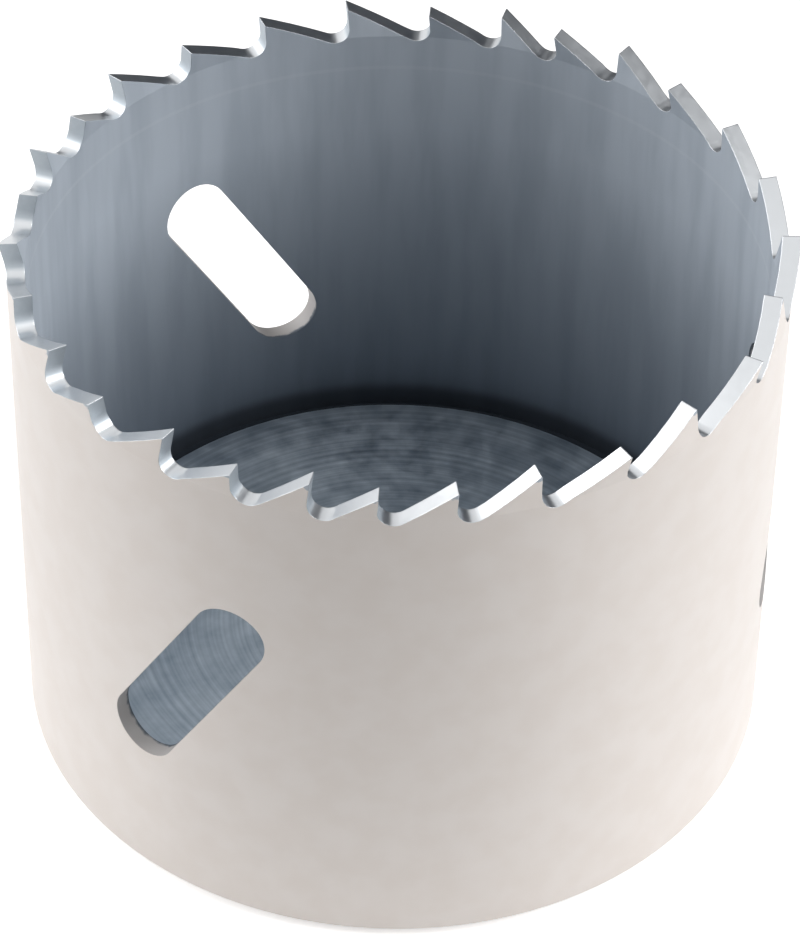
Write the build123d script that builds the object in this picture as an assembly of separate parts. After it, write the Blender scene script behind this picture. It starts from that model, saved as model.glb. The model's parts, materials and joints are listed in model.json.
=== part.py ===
from build123d import *
from math import asin, atan2, cos, degrees, hypot, pi, radians, sin, tan
import os

# A 51 mm (2 in) bimetal hole saw: a toothed steel cup and the thick cap welded into its back.
# The frame: origin at the centre of the cap's back face, +Z along the axis towards the teeth.
# Lengths are in millimetres and angles in degrees, turning anticlockwise seen from the teeth.

# The cup: a strip of steel, toothed, punched and rolled into a ring
cutting_diameter = 51.0         # circle that the outward-set tips cut
overall_height = 38.6           # cap's back face to the tips
wall = 1.2                      # thickness of the strip
back_bevel = 0.7                # bevel ground on the cup's outer back edge

# The teeth
tooth_depth = 2.35              # tip to the bottom of the gullet
tooth_set = 0.4                 # how far a set tip leans out or in
set_rise = 0.35                 # height above the gullets at which the teeth start to lean
gullet_radius = 1.0
rake = 4.0                      # hook of the cutting face
tip_land = 0.06                 # flat left on a tip
fine_pitch = 4.25               # closest tip spacing, 6 teeth to the inch
wide_pitches = (6.15, 5.65, 6.35)       # widest spacing in each group, 4 teeth to the inch or so
group_counts = (7, 9, 13)       # teeth in each group
lead_count = 4                  # teeth of the last group that come before the first group
first_tip_angle = 30.3          # where the rolled strip starts
set_order = "straight in out in out in out".split()     # raker set, one word for each tooth

# The slanted slots in the wall, for prising out the plug of waste
slot_count = 3
slot_length = 17.8              # end to end
slot_width = 4.8
slot_slope = 59.0               # from level, rising anticlockwise
slot_centre_height = 19.0

# The cap: a turned plate with a raised pad, tapped for the arbor
cap_thickness = 4.8
pad_edge_width = 1.3            # width of the step round the raised pad
pad_step = 1.2                  # height of that step
pad_bevel = 0.3
weld_bevel = 0.4                # bevel round the cap's back, where it is welded to the cup

# The interface to the arbor
thread_diameter = 15.875        # 5/8-18 UNF, major diameter
thread_clearance = 0.1          # added to the diameter of the bore
bore_chamfer = 0.7
drive_pin_diameter = 6.35
drive_pin_clearance = 0.45      # added to the diameter of each hole
drive_pin_spacing = 27.0        # across the axis from hole to hole
drive_pin_count = 2
drive_pin_angle = 150.0         # of the first hole
pin_hole_chamfer = 0.3

# Sizes worked out from those above
cup_radius = cutting_diameter / 2 - tooth_set
cup_bore = cup_radius - wall
gullet_height = overall_height - tooth_depth
set_height = gullet_height + set_rise
cap_radius = cup_bore           # the welded cap fills the cup, face to face
pad_radius = cap_radius - pad_edge_width
thread_bore = (thread_diameter + thread_clearance) / 2
pin_hole = (drive_pin_diameter + drive_pin_clearance) / 2
reach = wall + tooth_set        # how far a cutter runs past both faces of the wall


def tip_spacings():
    """Angle from each tip to the next, anticlockwise, closing on a full turn."""
    spacings = []
    for count, widest in zip(group_counts, wide_pitches):
        for tooth in range(1, count + 1):
            spacings.append(fine_pitch + (widest - fine_pitch) * sin(pi * tooth / count))
    spacings = spacings[-lead_count:] + spacings[:-lead_count]
    return [360 * spacing / sum(spacings) for spacing in spacings]


def tip_angles(spacings):
    """Angle of every tip."""
    return [first_tip_angle + sum(spacings[:tooth]) for tooth in range(len(spacings))]


def gullet_centre():
    """How far the round of a gullet is centred past its tip, measured round the wall."""
    drop = tooth_depth - gullet_radius
    return gullet_radius / cos(radians(rake)) - drop * tan(radians(rake))


def wall_plane(angle, radius):
    """Plane tangent to the wall: X runs anticlockwise, Y runs up and Z points outwards."""
    turn = radians(angle)
    outward = (cos(turn), sin(turn), 0)
    return Plane(
        origin=(radius * cos(turn), radius * sin(turn), 0),
        x_dir=(-sin(turn), cos(turn), 0),
        z_dir=outward,
    )


def gullet_outline(spacing, radius):
    """Outline of one gullet at a distance from the axis, centred between its two tips."""

    def point(along, height):
        """Place a point, measured round the wall from the tip behind, on the cutter's plane."""
        return radius * tan((along - length / 2) / cup_radius), height

    def on_round(angle):
        """Point on the round of the gullet."""
        return point(centre + gullet_radius * cos(angle), axis_height + gullet_radius * sin(angle))

    length = radians(spacing) * cup_radius
    centre = gullet_centre()
    axis_height = gullet_height + gullet_radius
    # the cutting face of the tip behind meets the round at one angle, the relief at the other
    next_tip = length - tip_land
    run = next_tip - centre
    rise = overall_height - axis_height
    face_end = -pi - radians(rake)
    relief_start = atan2(rise, run) + asin(gullet_radius / hypot(run, rise)) - pi / 2
    face_foot = on_round(face_end)
    relief_foot = on_round(relief_start)
    above = overall_height + wall
    edges = [
        Line(point(0, above), point(0, overall_height)),
        Line(point(0, overall_height), face_foot),
        ThreePointArc(face_foot, on_round((face_end + relief_start) / 2), relief_foot),
        Line(relief_foot, point(next_tip, overall_height)),
        Line(point(next_tip, overall_height), point(next_tip, above)),
        Line(point(next_tip, above), point(0, above)),
    ]
    return make_face(edges)


def gullet_cutter(angle, spacing):
    """Radial cutter for the gullet that follows the tip at this angle."""
    middle = angle + spacing / 2
    radii = (cup_bore - reach, cup_radius + reach)
    sections = [wall_plane(middle, radius) * gullet_outline(spacing, radius) for radius in radii]
    return loft(sections, ruled=True)


def tooth_blank(start, span, side):
    """Piece of rim that becomes one tooth, leaning to its side from the set height up."""
    shift = {"in": -tooth_set, "straight": 0, "out": tooth_set}[side]
    section = Polygon(
        (cup_bore, set_height),
        (cup_radius, set_height),
        (cup_radius + shift, overall_height),
        (cup_bore + shift, overall_height),
        align=None,
    )
    return revolve(Plane.XZ * section, Axis.Z, span).rotate(Axis.Z, start)


def toothed_rim():
    """All the tooth blanks, and the cutters that part them."""
    spacings = tip_spacings()
    angles = tip_angles(spacings)
    to_gullet = degrees(gullet_centre() / cup_radius)
    gap = degrees(gullet_radius / cup_radius) / 4
    blanks = []
    cutters = []
    for tooth, angle in enumerate(angles):
        start = angle - spacings[tooth - 1] + to_gullet + gap
        span = spacings[tooth - 1] - 2 * gap
        side = set_order[tooth % len(set_order)]
        blanks.append(tooth_blank(start, span, side))
        cutters.append(gullet_cutter(angle, spacings[tooth]))
    return blanks, cutters


def plain_cup():
    """The rolled wall up to the height where the teeth start to lean."""
    section = Polygon(
        (cup_bore, 0),
        (cup_radius - back_bevel, 0),
        (cup_radius, back_bevel),
        (cup_radius, set_height),
        (cup_bore, set_height),
        align=None,
    )
    return revolve(Plane.XZ * section, Axis.Z)


def slot_cutter(number):
    """One slanted slot, punched square to the wall at its middle."""
    outline = Pos(0, slot_centre_height) * Rot(0, 0, slot_slope) * SlotOverall(slot_length, slot_width)
    plane = wall_plane(360 / slot_count * number, cup_bore - reach)
    return extrude(plane * outline, wall + 2 * reach)


def saw_cup():
    """The toothed and slotted wall, in one piece."""
    blanks, cutters = toothed_rim()
    cup = plain_cup().fuse(*blanks)
    return cup.cut(*cutters, *[slot_cutter(number) for number in range(slot_count)])


def cap_section():
    """Half section of the cap, from the bore out to the seat in the cup."""
    rim_height = cap_thickness - pad_step
    return Polygon(
        (thread_bore + bore_chamfer, 0),
        (cap_radius - weld_bevel, 0),
        (cap_radius, weld_bevel),
        (cap_radius, rim_height),
        (pad_radius, rim_height),
        (pad_radius, cap_thickness - pad_bevel),
        (pad_radius - pad_bevel, cap_thickness),
        (thread_bore + bore_chamfer, cap_thickness),
        (thread_bore, cap_thickness - bore_chamfer),
        (thread_bore, bore_chamfer),
        align=None,
    )


def pin_hole_cutter():
    """A drive-pin hole with both mouths chamfered."""
    section = Polygon(
        (0, 0),
        (pin_hole + pin_hole_chamfer, 0),
        (pin_hole, pin_hole_chamfer),
        (pin_hole, cap_thickness - pin_hole_chamfer),
        (pin_hole + pin_hole_chamfer, cap_thickness),
        (0, cap_thickness),
        align=None,
    )
    return revolve(Plane.XZ * section, Axis.Z)


def end_cap():
    """The cap with its arbor bore and drive-pin holes."""
    cap = revolve(Plane.XZ * cap_section(), Axis.Z)
    holes = PolarLocations(drive_pin_spacing / 2, drive_pin_count, drive_pin_angle)
    return cap.cut(*[place * pin_hole_cutter() for place in holes])


def write_part(node, shape):
    """Write one piece to its own file, named for its node."""
    shape.label = node
    export_step(shape, f"parts/{node}.step")


os.makedirs("parts", exist_ok=True)
write_part("saw_cup", saw_cup())
write_part("end_cap", end_cap())
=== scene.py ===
from math import ceil, cos, pi, radians, sin, tan
import json

import bpy
from mathutils import Matrix, Vector


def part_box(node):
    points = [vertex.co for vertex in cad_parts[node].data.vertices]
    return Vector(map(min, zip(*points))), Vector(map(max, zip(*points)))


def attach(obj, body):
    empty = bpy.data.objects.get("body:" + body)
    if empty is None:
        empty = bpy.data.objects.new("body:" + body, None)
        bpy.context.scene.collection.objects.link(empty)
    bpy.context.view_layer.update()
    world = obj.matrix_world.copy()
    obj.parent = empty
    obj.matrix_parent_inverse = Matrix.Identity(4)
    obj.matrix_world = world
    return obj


# A 51 mm bimetal hole saw: an enamelled steel cup with teeth and slanted slots, and a turned
# steel cap welded into its back, tapped for an arbor. Lengths are in metres and angles in degrees,
# and the finishes are measured in millimetres.

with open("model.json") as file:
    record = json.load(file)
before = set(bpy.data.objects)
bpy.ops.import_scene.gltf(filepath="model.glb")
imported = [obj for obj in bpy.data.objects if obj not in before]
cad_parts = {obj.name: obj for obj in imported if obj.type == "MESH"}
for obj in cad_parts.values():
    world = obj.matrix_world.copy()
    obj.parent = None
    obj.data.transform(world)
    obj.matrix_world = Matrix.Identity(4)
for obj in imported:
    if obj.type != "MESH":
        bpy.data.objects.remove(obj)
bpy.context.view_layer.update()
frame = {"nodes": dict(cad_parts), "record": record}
cup = frame["nodes"]["saw_cup"]
cap = frame["nodes"]["end_cap"]
MM = 0.001

# Sizes read from the frame
cup_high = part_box("saw_cup")[1]
cap_low, cap_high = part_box("end_cap")
mount_sizes = {mount["name"]: mount["dims"] for mount in frame["record"]["mounts"]}
bore_radius = mount_sizes["arbor_thread"]["r_mm"] * MM
bore_height = mount_sizes["arbor_thread"]["length_mm"] * MM

# Where the finishes change, in millimetres
tooth_zone = 2.6                        # from the tips to just below the gullets
tooth_strip_width = 4.6                 # from the tips to the weld of the hard strip they are cut in
pad_step_width = 1.3                    # between the cup's wall and the cap's raised pad
tip_height = cup_high.z / MM
tooth_foot = tip_height - tooth_zone
tooth_weld_height = tip_height - tooth_strip_width
wall_inside = cap_high.x / MM           # radius of the cup's bore, which the cap fills
pad_height = cap_high.z / MM
pad_radius = wall_inside - pad_step_width
shade_fade_height = 29.0                      # painted shade inside the cup fades out up to here

# How squarely a surface faces the axis or away from it
edge_facing = 0.5                       # at most, on an edge of the strip
side_facing = 0.65                      # at least, on a side of it

# Sizes of the patterns, in millimetres
chip_size = 0.7                         # of the enamel's ragged edges
cloud_size = 2.5                        # of the enamel's faint clouds
peel_size = 0.9                         # of its orange peel
oil_run_width = 1.8
oil_run_length = 14.0
cutter_mark_size = 0.4                  # coarser than the real one, so that it shows
rolling_grain_length = 2.0
rolling_grain_width = 0.25              # coarser than the real one, so that it shows
blotch_size = 1.4                       # of heat and oil on the cap
turning_ring_width = 0.3                # coarser than the real one, so that it shows
edge_round = 0.08                       # on every edge of the cup, so that it catches the light

# The arbor thread, 5/8-18 UNF
thread_radius = 7.9375 * MM             # half the major diameter
thread_pitch = 25.4 / 18 * MM
thread_flank = 60.0                     # angle between the two flanks of a ridge
thread_steps = 120                      # round one turn
thread_step_height = 0.045 * MM
thread_backing = 0.1 * MM               # how far its sleeve reaches into the bore's wall

# The camera looks down into the mouth of the cup
camera_elevation = 41.74
camera_turn = 1.62                      # anticlockwise from straight in front
camera_distance = 0.279
focal_length = 160.4                    # mm, on a 36 mm sensor
aim_height = 18.43 * MM
aim_across = 0.23 * MM
camera_roll = 0.99

# The studio
floor_radius = 0.11
floor_gap = 0.02 * MM                   # under the cup, so that no two faces share a plane
floor_step = 5                          # degrees between the corners of its rim
floor_glow = 0.48                       # lifts the floor's white where it is seen or mirrored
fill_light = 0.08
softbox_distance = 0.60
left_azimuth = 179
left_elevation = 30
left_side = 0.60
left_brightness = 3.1
right_azimuth = -8
right_elevation = 36
right_side = 0.46
right_brightness = 5.3
flag_radius = 0.13
flag_azimuths = (0, 104)
flag_heights = (0.40, 0.135)            # of its top, at those two azimuths
flag_step = 4                           # degrees between its posts

# Sockets of a Mix node that is set to colours
SHARE, FIRST, SECOND, BLEND = 0, 6, 7, 2

# Makes a Map Range node ease in and out
SMOOTH = {"interpolation_type": "SMOOTHSTEP"}


# Materials

def linear(code):
    """Linear RGBA of an sRGB hex colour."""
    channels = [int(code[place:place + 2], 16) / 255 for place in (1, 3, 5)]
    curve = [c / 12.92 if c <= 0.04045 else ((c + 0.055) / 1.055) ** 2.4 for c in channels]
    return (*curve, 1.0)


def new_material(name):
    """An empty node material and its tree."""
    material = bpy.data.materials.new(name)
    material.use_nodes = True
    material.node_tree.nodes.clear()
    return material, material.node_tree


def add(tree, kind, inputs=None, **settings):
    """Add one node with its settings. Each input is a value or another node's output."""
    made = tree.nodes.new(kind)
    for name, value in settings.items():
        setattr(made, name, value)
    for socket, value in (inputs or {}).items():
        if isinstance(value, bpy.types.NodeSocket):
            tree.links.new(value, made.inputs[socket])
        else:
            made.inputs[socket].default_value = value
    return made


def millimetres(tree):
    """The place on the object, in millimetres, so that a noise scale is one over a real size."""
    inputs = {0: add(tree, "ShaderNodeTexCoord").outputs["Object"], "Scale": 1 / MM}
    return add(tree, "ShaderNodeVectorMath", inputs, operation="SCALE").outputs[0]


def axis_distance(tree, place):
    """How far a place lies from the axis."""
    inputs = {0: place, 1: (1, 1, 0)}
    level = add(tree, "ShaderNodeVectorMath", inputs, operation="MULTIPLY").outputs[0]
    return add(tree, "ShaderNodeVectorMath", {0: level}, operation="LENGTH").outputs["Value"]


def facing(tree):
    """How far a surface faces away from the axis: 1 outside the wall, -1 inside it, 0 on an edge."""
    coordinates = add(tree, "ShaderNodeTexCoord").outputs
    inputs = {0: coordinates["Object"], 1: (1, 1, 0)}
    level = add(tree, "ShaderNodeVectorMath", inputs, operation="MULTIPLY").outputs[0]
    radial = add(tree, "ShaderNodeVectorMath", {0: level}, operation="NORMALIZE").outputs[0]
    inputs = {0: radial, 1: coordinates["Normal"]}
    return add(tree, "ShaderNodeVectorMath", inputs, operation="DOT_PRODUCT").outputs["Value"]


def strip_edges(tree, height, outward):
    """Where the edges of the strip are, which of them are milled, and which are slot walls."""
    side_on = add(tree, "ShaderNodeMath", {0: outward}, operation="ABSOLUTE").outputs[0]
    inputs = {
        "Value": side_on,
        "From Min": edge_facing,
        "From Max": side_facing,
        "To Min": 1.0,
        "To Max": 0.0,
    }
    edge = add(tree, "ShaderNodeMapRange", inputs, **SMOOTH).outputs[0]
    inputs = {"Value": height, "From Min": tooth_foot - 0.2, "From Max": tooth_foot}
    tooth = add(tree, "ShaderNodeMapRange", inputs).outputs[0]
    milled = add(tree, "ShaderNodeMath", {0: edge, 1: tooth}, operation="MULTIPLY").outputs[0]
    slot_wall = add(tree, "ShaderNodeMath", {0: edge, 1: milled}, operation="SUBTRACT").outputs[0]
    return edge, milled, slot_wall


def enamel_cover(tree, place, height, outward, slot_wall):
    """How much enamel covers a place: all of it outside, but chipped off the last few tenths of
    each tip, and a thin mist on the slot walls that ends ragged near the inside."""
    inputs = {"Value": outward, "From Min": edge_facing, "From Max": side_facing}
    outside = add(tree, "ShaderNodeMapRange", inputs, **SMOOTH).outputs[0]
    inputs = {"Vector": place, "Scale": 1 / chip_size, "Detail": 3.0}
    chip = add(tree, "ShaderNodeTexNoise", inputs).outputs[0]

    inputs = {0: chip, 1: 0.6, 2: axis_distance(tree, place)}
    ragged_reach = add(tree, "ShaderNodeMath", inputs, operation="MULTIPLY_ADD").outputs[0]
    thin = add(tree, "ShaderNodeMath", {0: slot_wall, 1: 0.5}, operation="MULTIPLY").outputs[0]
    inputs = {
        "Value": ragged_reach,
        "From Min": wall_inside + 0.35,
        "From Max": wall_inside + 0.55,
        "To Max": thin,
    }
    mist = add(tree, "ShaderNodeMapRange", inputs).outputs[0]
    coated = add(tree, "ShaderNodeMath", {0: outside, 1: mist}, operation="MAXIMUM").outputs[0]

    inputs = {0: chip, 1: 1.6, 2: height}
    ragged_height = add(tree, "ShaderNodeMath", inputs, operation="MULTIPLY_ADD").outputs[0]
    inputs = {
        "Value": ragged_height,
        "From Min": tip_height + 0.55,
        "From Max": tip_height + 0.7,
        "To Min": 1.0,
        "To Max": 0.0,
    }
    kept = add(tree, "ShaderNodeMapRange", inputs).outputs[0]
    return add(tree, "ShaderNodeMath", {0: coated, 1: kept}, operation="MULTIPLY").outputs[0]


def oil_runs(tree, place):
    """Where quench oil has run down the wall and dried."""
    stretch = (1 / oil_run_width, 1 / oil_run_width, 1 / oil_run_length)
    inputs = {0: place, 1: stretch}
    drawn_down = add(tree, "ShaderNodeVectorMath", inputs, operation="MULTIPLY").outputs[0]
    inputs = {"Vector": drawn_down, "Scale": 1.0, "Detail": 3.0}
    run = add(tree, "ShaderNodeTexNoise", inputs).outputs[0]
    inputs = {"Value": run, "From Min": 0.35, "From Max": 0.7}
    return add(tree, "ShaderNodeMapRange", inputs, **SMOOTH).outputs[0]


def bare_strip_colour(tree, height, oil):
    """Bluish and dull. Painted shade darkens it from the foot up, and painted shade lies black
    beside the pad, and a fine paler line shows where the tooth strip is welded on."""
    # Painted shade: the wall darkens towards the foot of the cup
    inputs = {"Value": height, "From Min": pad_height, "From Max": shade_fade_height}
    out_of_depth_shade = add(tree, "ShaderNodeMapRange", inputs).outputs[0]
    inputs = {SHARE: out_of_depth_shade, FIRST: linear("#646D78"), SECOND: linear("#B7BFC8")}
    depth_shaded_strip = add(tree, "ShaderNodeMix", inputs, data_type="RGBA").outputs[BLEND]
    # Painted shade: a black band at the foot of the wall, in the step beside the pad
    inputs = {"Value": height, "From Min": pad_height - 0.2, "From Max": pad_height + 1.1}
    clear = add(tree, "ShaderNodeMapRange", inputs, **SMOOTH).outputs[0]
    inputs = {SHARE: clear, FIRST: linear("#454C55"), SECOND: depth_shaded_strip}
    strip = add(tree, "ShaderNodeMix", inputs, data_type="RGBA").outputs[BLEND]

    inputs = {SHARE: oil, FIRST: strip, SECOND: linear("#EFF0F1")}
    oiled = add(tree, "ShaderNodeMix", inputs, data_type="RGBA", blend_type="MULTIPLY").outputs[BLEND]

    inputs = {0: height, 1: tooth_weld_height}
    from_weld = add(tree, "ShaderNodeMath", inputs, operation="SUBTRACT").outputs[0]
    apart = add(tree, "ShaderNodeMath", {0: from_weld}, operation="ABSOLUTE").outputs[0]
    inputs = {"Value": apart, "From Min": 0.08, "From Max": 0.2, "To Min": 0.13, "To Max": 0.0}
    weld = add(tree, "ShaderNodeMapRange", inputs, **SMOOTH).outputs[0]
    inputs = {SHARE: weld, FIRST: oiled, SECOND: linear("#D4D8DC")}
    return add(tree, "ShaderNodeMix", inputs, data_type="RGBA").outputs[BLEND]


def upward_share(tree):
    """1 on the backs of the teeth, which face up, and 0 on the cutting faces, which stand upright."""
    normal = add(tree, "ShaderNodeTexCoord").outputs["Normal"]
    upward = add(tree, "ShaderNodeSeparateXYZ", {"Vector": normal}).outputs["Z"]
    inputs = {"Value": upward, "From Min": 0.45, "From Max": 0.8}
    return add(tree, "ShaderNodeMapRange", inputs, **SMOOTH).outputs[0]


def cream_enamel_colour(tree, place):
    """Cream, with a faint cloudiness."""
    inputs = {"Vector": place, "Scale": 1 / cloud_size, "Detail": 2.0}
    cloud = add(tree, "ShaderNodeTexNoise", inputs).outputs[0]
    inputs = {"Value": cloud, "From Min": 0.3, "From Max": 0.7}
    clouding = add(tree, "ShaderNodeMapRange", inputs, **SMOOTH).outputs[0]
    inputs = {SHARE: clouding, FIRST: linear("#EBE3DD"), SECOND: linear("#EEE7E2")}
    return add(tree, "ShaderNodeMix", inputs, data_type="RGBA").outputs[BLEND]


def cup_relief(tree, place, enamel, metal):
    """Edges rounded a little, orange peel on the enamel, and on the steel the grain of rolling,
    which runs round the wall and is drawn coarser than the real one."""
    round_edge = add(tree, "ShaderNodeBevel", {"Radius": edge_round * MM}, samples=4).outputs[0]
    inputs = {"Vector": place, "Scale": 1 / peel_size, "Detail": 2.0}
    peel = add(tree, "ShaderNodeTexNoise", inputs).outputs[0]
    inputs = {"Value": enamel, "To Min": 0.0, "To Max": 0.08}
    strength = add(tree, "ShaderNodeMapRange", inputs).outputs[0]
    inputs = {"Height": peel, "Strength": strength, "Distance": 0.05 * MM, "Normal": round_edge}
    skin = add(tree, "ShaderNodeBump", inputs).outputs[0]

    stretch = (1 / rolling_grain_length, 1 / rolling_grain_length, 1 / rolling_grain_width)
    inputs = {0: place, 1: stretch}
    drawn_round = add(tree, "ShaderNodeVectorMath", inputs, operation="MULTIPLY").outputs[0]
    inputs = {"Vector": drawn_round, "Scale": 1.0, "Detail": 2.0}
    grain = add(tree, "ShaderNodeTexNoise", inputs).outputs[0]
    inputs = {"Value": metal, "To Min": 0.0, "To Max": 0.12}
    strength = add(tree, "ShaderNodeMapRange", inputs).outputs[0]
    inputs = {"Height": grain, "Strength": strength, "Distance": 0.03 * MM, "Normal": skin}
    return add(tree, "ShaderNodeBump", inputs).outputs[0]


def enamelled_saw_steel():
    """Cold-rolled alloy strip: satin stove enamel outside, dull bare steel inside, and milled
    teeth whose backs, which face up, are smoother and given a painted highlight, and whose cutting
    faces are duller."""
    material, tree = new_material("enamelled_saw_steel")
    place = millimetres(tree)
    height = add(tree, "ShaderNodeSeparateXYZ", {"Vector": place}).outputs["Z"]
    outward = facing(tree)
    edge, milled, slot_wall = strip_edges(tree, height, outward)
    enamel = enamel_cover(tree, place, height, outward, slot_wall)
    oil = oil_runs(tree, place)
    back = upward_share(tree)

    # Colour: bare strip with its painted shade, then its punched edges, dark from hardening, then the
    # milled faces with a painted highlight on their backs, and the enamel over them all
    inputs = {SHARE: edge, FIRST: bare_strip_colour(tree, height, oil), SECOND: linear("#59616A")}
    punched = add(tree, "ShaderNodeMix", inputs, data_type="RGBA").outputs[BLEND]
    # Painted highlight: the backs of the teeth, which face up, get a lighter steel colour than the
    # upright cutting faces
    inputs = {SHARE: back, FIRST: linear("#AEB5BB"), SECOND: linear("#D6D9DC")}
    milled_with_painted_highlight = add(tree, "ShaderNodeMix", inputs, data_type="RGBA").outputs[BLEND]
    inputs = {SHARE: milled, FIRST: punched, SECOND: milled_with_painted_highlight}
    steel = add(tree, "ShaderNodeMix", inputs, data_type="RGBA").outputs[BLEND]
    inputs = {SHARE: enamel, FIRST: steel, SECOND: cream_enamel_colour(tree, place)}
    colour = add(tree, "ShaderNodeMix", inputs, data_type="RGBA").outputs[BLEND]

    # Roughness: the strip is smoother where oil has dried, and cutter marks, drawn coarser than
    # the real ones, faintly break up the shine of the milled faces
    inputs = {"Value": oil, "To Min": 0.66, "To Max": 0.62}
    strip_rough = add(tree, "ShaderNodeMapRange", inputs).outputs[0]
    inputs = {"Value": back, "To Min": 0.56, "To Max": 0.26}
    cut_rough = add(tree, "ShaderNodeMapRange", inputs).outputs[0]
    inputs = {"Vector": place, "Scale": 1 / cutter_mark_size, "Detail": 1.0}
    mark = add(tree, "ShaderNodeTexNoise", inputs).outputs[0]
    inputs = {0: mark, 1: 0.12, 2: cut_rough}
    milled_rough = add(tree, "ShaderNodeMath", inputs, operation="MULTIPLY_ADD").outputs[0]
    inputs = {"Value": milled, "To Min": strip_rough, "To Max": milled_rough}
    steel_rough = add(tree, "ShaderNodeMapRange", inputs).outputs[0]
    inputs = {"Value": enamel, "To Min": steel_rough, "To Max": 0.42}
    rough = add(tree, "ShaderNodeMapRange", inputs).outputs[0]

    # A skin of oxide and oil hides most of the metal of the strip, and none of the milled faces
    inputs = {"Value": milled, "To Min": 0.15, "To Max": 1.0}
    steel_metal = add(tree, "ShaderNodeMapRange", inputs).outputs[0]
    inputs = {"Value": enamel, "To Min": steel_metal, "To Max": 0.0}
    metal = add(tree, "ShaderNodeMapRange", inputs).outputs[0]

    shader = add(tree, "ShaderNodeBsdfPrincipled", {
        "Base Color": colour,
        "Metallic": metal,
        "Roughness": rough,
        "Normal": cup_relief(tree, place, enamel, metal),
    })
    add(tree, "ShaderNodeOutputMaterial", {"Surface": shader.outputs[0]})
    return material


def turned_steel():
    """Low-carbon steel turned on a lathe: rings on its faces, and painted shade in the step at its rim.
    """
    material, tree = new_material("turned_steel")
    place = millimetres(tree)
    radius = axis_distance(tree, place)

    # Blotches of oil and heat, in the colours of dull low-carbon steel
    inputs = {"Vector": place, "Scale": 1 / blotch_size, "Detail": 4.0}
    blotch = add(tree, "ShaderNodeTexNoise", inputs).outputs[0]
    inputs = {SHARE: blotch, FIRST: linear("#909DA9"), SECOND: linear("#D5DEE5")}
    dull = add(tree, "ShaderNodeMix", inputs, data_type="RGBA").outputs[BLEND]

    # Turning rings, drawn coarser than the real feed
    ring_place = add(tree, "ShaderNodeCombineXYZ", {"X": radius}).outputs[0]
    inputs = {"Vector": ring_place, "Scale": 1 / turning_ring_width, "Detail": 1.0}
    rings = add(tree, "ShaderNodeTexNoise", inputs).outputs[0]
    inputs = {"Value": rings, "From Min": 0.35, "From Max": 0.65}
    ring = add(tree, "ShaderNodeMapRange", inputs).outputs[0]
    inputs = {SHARE: ring, FIRST: dull, SECOND: linear("#E4E6E8")}
    turned = add(tree, "ShaderNodeMix", inputs, data_type="RGBA", blend_type="MULTIPLY").outputs[BLEND]

    # Painted shade, black, in the step between the cap and the cup, from the edge of the pad out
    inputs = {"Value": radius, "From Min": pad_radius - 0.25, "From Max": pad_radius + 0.05}
    step_shade = add(tree, "ShaderNodeMapRange", inputs).outputs[0]
    inputs = {SHARE: step_shade, FIRST: turned, SECOND: linear("#454C55")}
    colour = add(tree, "ShaderNodeMix", inputs, data_type="RGBA").outputs[BLEND]

    inputs = {"Value": blotch, "From Min": 0.3, "From Max": 0.7, "To Min": 0.42, "To Max": 0.55}
    turned_rough = add(tree, "ShaderNodeMapRange", inputs).outputs[0]
    inputs = {"Value": step_shade, "To Min": turned_rough, "To Max": 0.8}
    rough = add(tree, "ShaderNodeMapRange", inputs).outputs[0]
    inputs = {"Height": rings, "Strength": 0.25, "Distance": 0.03 * MM}
    relief = add(tree, "ShaderNodeBump", inputs).outputs[0]
    shader = add(tree, "ShaderNodeBsdfPrincipled", {
        "Base Color": colour,
        "Metallic": 1.0,
        "Roughness": rough,
        "Normal": relief,
    })
    add(tree, "ShaderNodeOutputMaterial", {"Surface": shader.outputs[0]})
    return material


def background_ray(tree):
    """1 for a ray that shows the background: seen directly, mirrored or through glass."""
    path = add(tree, "ShaderNodeLightPath").outputs
    inputs = {0: path["Is Camera Ray"], 1: path["Is Glossy Ray"]}
    seen = add(tree, "ShaderNodeMath", inputs, operation="MAXIMUM").outputs[0]
    inputs = {0: seen, 1: path["Is Transmission Ray"]}
    return add(tree, "ShaderNodeMath", inputs, operation="MAXIMUM").outputs[0]


def white_card():
    """Matt white card for the floor: it shows nearly white and keeps a soft shadow."""
    material, tree = new_material("white_card")
    matt = add(tree, "ShaderNodeBsdfDiffuse", {"Color": linear("#F2F2F2")})
    inputs = {0: background_ray(tree), 1: floor_glow}
    lift = add(tree, "ShaderNodeMath", inputs, operation="MULTIPLY").outputs[0]
    glow = add(tree, "ShaderNodeEmission", {"Color": (1, 1, 1, 1), "Strength": lift})
    both = add(tree, "ShaderNodeAddShader", {0: matt.outputs[0], 1: glow.outputs[0]})
    add(tree, "ShaderNodeOutputMaterial", {"Surface": both.outputs[0]})
    return material


def grey_felt():
    """Dull dark grey felt for the flag, with no shine of its own."""
    material, tree = new_material("grey_felt")
    felt = add(tree, "ShaderNodeBsdfDiffuse", {"Color": linear("#3C424B")})
    add(tree, "ShaderNodeOutputMaterial", {"Surface": felt.outputs[0]})
    return material


def dress(piece, material):
    """Give a piece one material."""
    piece.data.materials.clear()
    piece.data.materials.append(material)


def new_piece(name, points, faces):
    """A mesh object in the scene."""
    mesh = bpy.data.meshes.new(name)
    mesh.from_pydata(points, [], faces)
    mesh.validate()
    mesh.update()
    piece = bpy.data.objects.new(name, mesh)
    bpy.context.scene.collection.objects.link(piece)
    return piece


# The arbor thread

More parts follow.
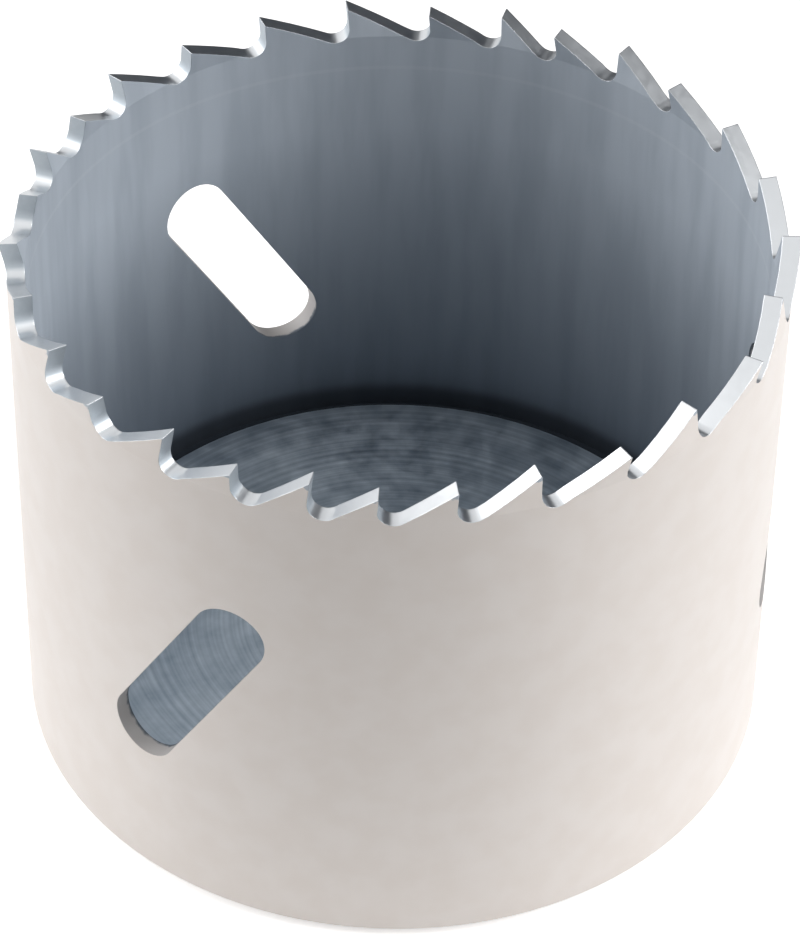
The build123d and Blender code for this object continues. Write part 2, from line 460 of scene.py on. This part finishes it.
def thread_radius_at(turn, height):
    """Radius of the thread at a share of a turn and a height above the bore's foot. Its crest is
    a quarter of the pitch wide, its depth is 5/8 of a sharp ridge's, and each end is chamfered."""
    phase = (height / thread_pitch - turn) % 1.0
    from_crest = abs(phase - 0.5) * thread_pitch
    flank_slope = 1 / tan(radians(thread_flank / 2))
    sharp_height = thread_pitch / 2 * flank_slope
    crest_half = thread_pitch / 8
    crest_radius = thread_radius - sharp_height * 5 / 8
    radius = crest_radius + max(0.0, from_crest - crest_half) * flank_slope
    radius = min(radius, thread_radius)
    run_out = bore_radius - min(height, bore_height - height)
    return max(radius, run_out)


def ring_points(radii, height):
    """Points of one ring round the axis, with a radius for each step of the turn."""
    points = []
    for step, radius in enumerate(radii):
        angle = 2 * pi * step / thread_steps
        points.append((radius * cos(angle), radius * sin(angle), height))
    return points


def arbor_thread():
    """Sleeve lining the bore, whose inside is the thread."""
    rows = ceil(bore_height / thread_step_height) + 1
    foot = (cap_low.z + cap_high.z - bore_height) / 2
    turns = [step / thread_steps for step in range(thread_steps)]
    points = []
    for row in range(rows):
        height = bore_height * row / (rows - 1)
        radii = [thread_radius_at(turn, height) for turn in turns]
        points += ring_points(radii, foot + height)
    for height in (0.0, bore_height):
        points += ring_points([bore_radius + thread_backing] * thread_steps, foot + height)

    faces = []
    top = (rows - 1) * thread_steps
    back_foot = top + thread_steps
    back_top = back_foot + thread_steps
    for step in range(thread_steps):
        beside = (step + 1) % thread_steps
        for low in range(0, top, thread_steps):
            high = low + thread_steps
            faces.append((low + beside, low + step, high + step, high + beside))
        faces.append((step, beside, back_foot + beside, back_foot + step))
        faces.append((back_foot + step, back_foot + beside, back_top + beside, back_top + step))
        faces.append((top + beside, top + step, back_top + step, back_top + beside))
    return new_piece("arbor_thread", points, faces)


# The studio

def direction(azimuth, elevation):
    """Unit vector towards an azimuth, anticlockwise from +X, and an elevation."""
    a = radians(azimuth)
    e = radians(elevation)
    return Vector((cos(a) * cos(e), sin(a) * cos(e), sin(e)))


def looking_back(aim, back, distance):
    """Place and turn of a camera or lamp that stands back from a point and faces it."""
    turn = back.to_track_quat("Z", "Y").to_matrix().to_4x4()
    return Matrix.Translation(aim + back * distance) @ turn


def place_camera():
    """Aim the camera at the middle of the cup."""
    data = bpy.data.cameras.new("camera")
    data.lens = focal_length
    data.clip_start = 0.01
    data.clip_end = 20.0
    camera = bpy.data.objects.new("camera", data)
    back = direction(camera_turn - 90, camera_elevation)
    across = direction(camera_turn, 0)
    aim = Vector((0, 0, aim_height)) + across * aim_across
    roll = Matrix.Rotation(radians(camera_roll), 4, "Z")
    camera.matrix_world = looking_back(aim, back, camera_distance) @ roll
    bpy.context.scene.collection.objects.link(camera)
    bpy.context.scene.camera = camera


def softbox(name, azimuth, elevation, side, brightness):
    """A square soft light facing the cup. Its brightness is per area, so that its size and its
    brightness can be set apart."""
    data = bpy.data.lights.new(name, "AREA")
    data.shape = "SQUARE"
    data.size = side
    data.energy = brightness * pi * side ** 2
    lamp = bpy.data.objects.new(name, data)
    middle = Vector((0, 0, cup_high.z / 2))
    lamp.matrix_world = looking_back(middle, direction(azimuth, elevation), softbox_distance)
    lamp.visible_camera = False
    bpy.context.scene.collection.objects.link(lamp)


def white_floor():
    """A plain round table top under the cup."""
    middle = Vector((0, 0, -floor_gap))
    azimuths = range(0, 360, floor_step)
    rim = [middle + direction(azimuth, 0) * floor_radius for azimuth in azimuths]
    floor = new_piece("floor", rim, [range(len(rim))])
    dress(floor, white_card())


def dark_flag():
    """A grey flag standing behind the cup, met only by reflections, so that the teeth have a dark
    side. Its top falls in a curve from the first azimuth to the last."""
    first, last = flag_azimuths
    high, low = flag_heights
    points = []
    for azimuth in range(first, last + 1, flag_step):
        share = (last - azimuth) / (last - first)
        foot = direction(azimuth, 0) * flag_radius
        top = low + share ** 2 * (high - low)
        points += [foot, foot + Vector((0, 0, top))]
    faces = [(post, post + 2, post + 3, post + 1) for post in range(0, len(points) - 2, 2)]
    flag = new_piece("dark_flag", points, faces)
    dress(flag, grey_felt())
    flag.visible_camera = False
    flag.visible_diffuse = False
    flag.visible_shadow = False


def studio_world():
    """White to look at, and a low grey fill light on the object."""
    world = bpy.data.worlds.new("studio")
    world.use_nodes = True
    tree = world.node_tree
    tree.nodes.clear()
    inputs = {"Value": background_ray(tree), "To Min": fill_light, "To Max": 1.0}
    strength = add(tree, "ShaderNodeMapRange", inputs).outputs[0]
    light = add(tree, "ShaderNodeBackground", {"Color": (1, 1, 1, 1), "Strength": strength})
    add(tree, "ShaderNodeOutputWorld", {"Surface": light.outputs[0]})
    bpy.context.scene.world = world


place_camera()
studio_world()
white_floor()
dark_flag()
softbox("softbox_left", left_azimuth, left_elevation, left_side, left_brightness)
softbox("softbox_right", right_azimuth, right_elevation, right_side, right_brightness)

dress(cup, enamelled_saw_steel())
dress(cap, turned_steel())

thread = arbor_thread()
dress(thread, cap.data.materials[0])
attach(thread, "root")

bpy.context.scene.view_settings.view_transform = "Standard"
